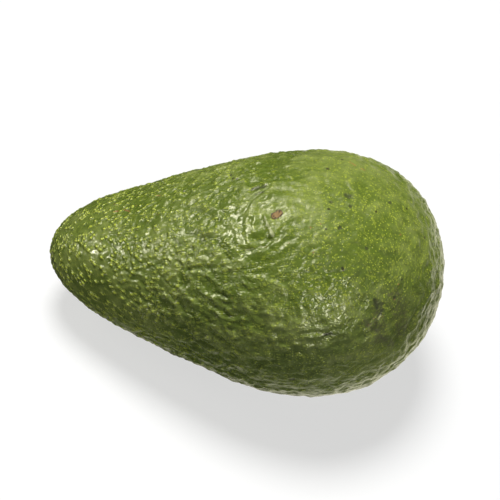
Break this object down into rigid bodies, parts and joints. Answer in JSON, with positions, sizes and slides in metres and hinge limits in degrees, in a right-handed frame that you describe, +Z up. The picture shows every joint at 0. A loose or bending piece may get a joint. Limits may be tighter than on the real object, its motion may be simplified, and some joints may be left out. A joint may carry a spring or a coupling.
{
  "type": "avocado",
  "caption": "Whole green avocado with pebbled skin, lying on its side, pear-shaped with a drooping neck and the corky stub of its stalk.",
  "frame": {"origin": "middle of the flat spot that the fruit rests on, right below its centre of mass", "axes": "+Z up, +X from the stalk end towards the broad blossom end, +Y across the fruit"},
  "size_m": [0.1155, 0.0694, 0.0709],
  "materials": {
    "skin": "waxy green rind with fine raised pebbles and yellow-green pores, semi-gloss",
    "stalk_cork": "dry brown cork, matt"
  },
  "bodies": {
    "root": {"fruit": "skin", "stem_stub": "stalk_cork"}
  },
  "joints": []
}
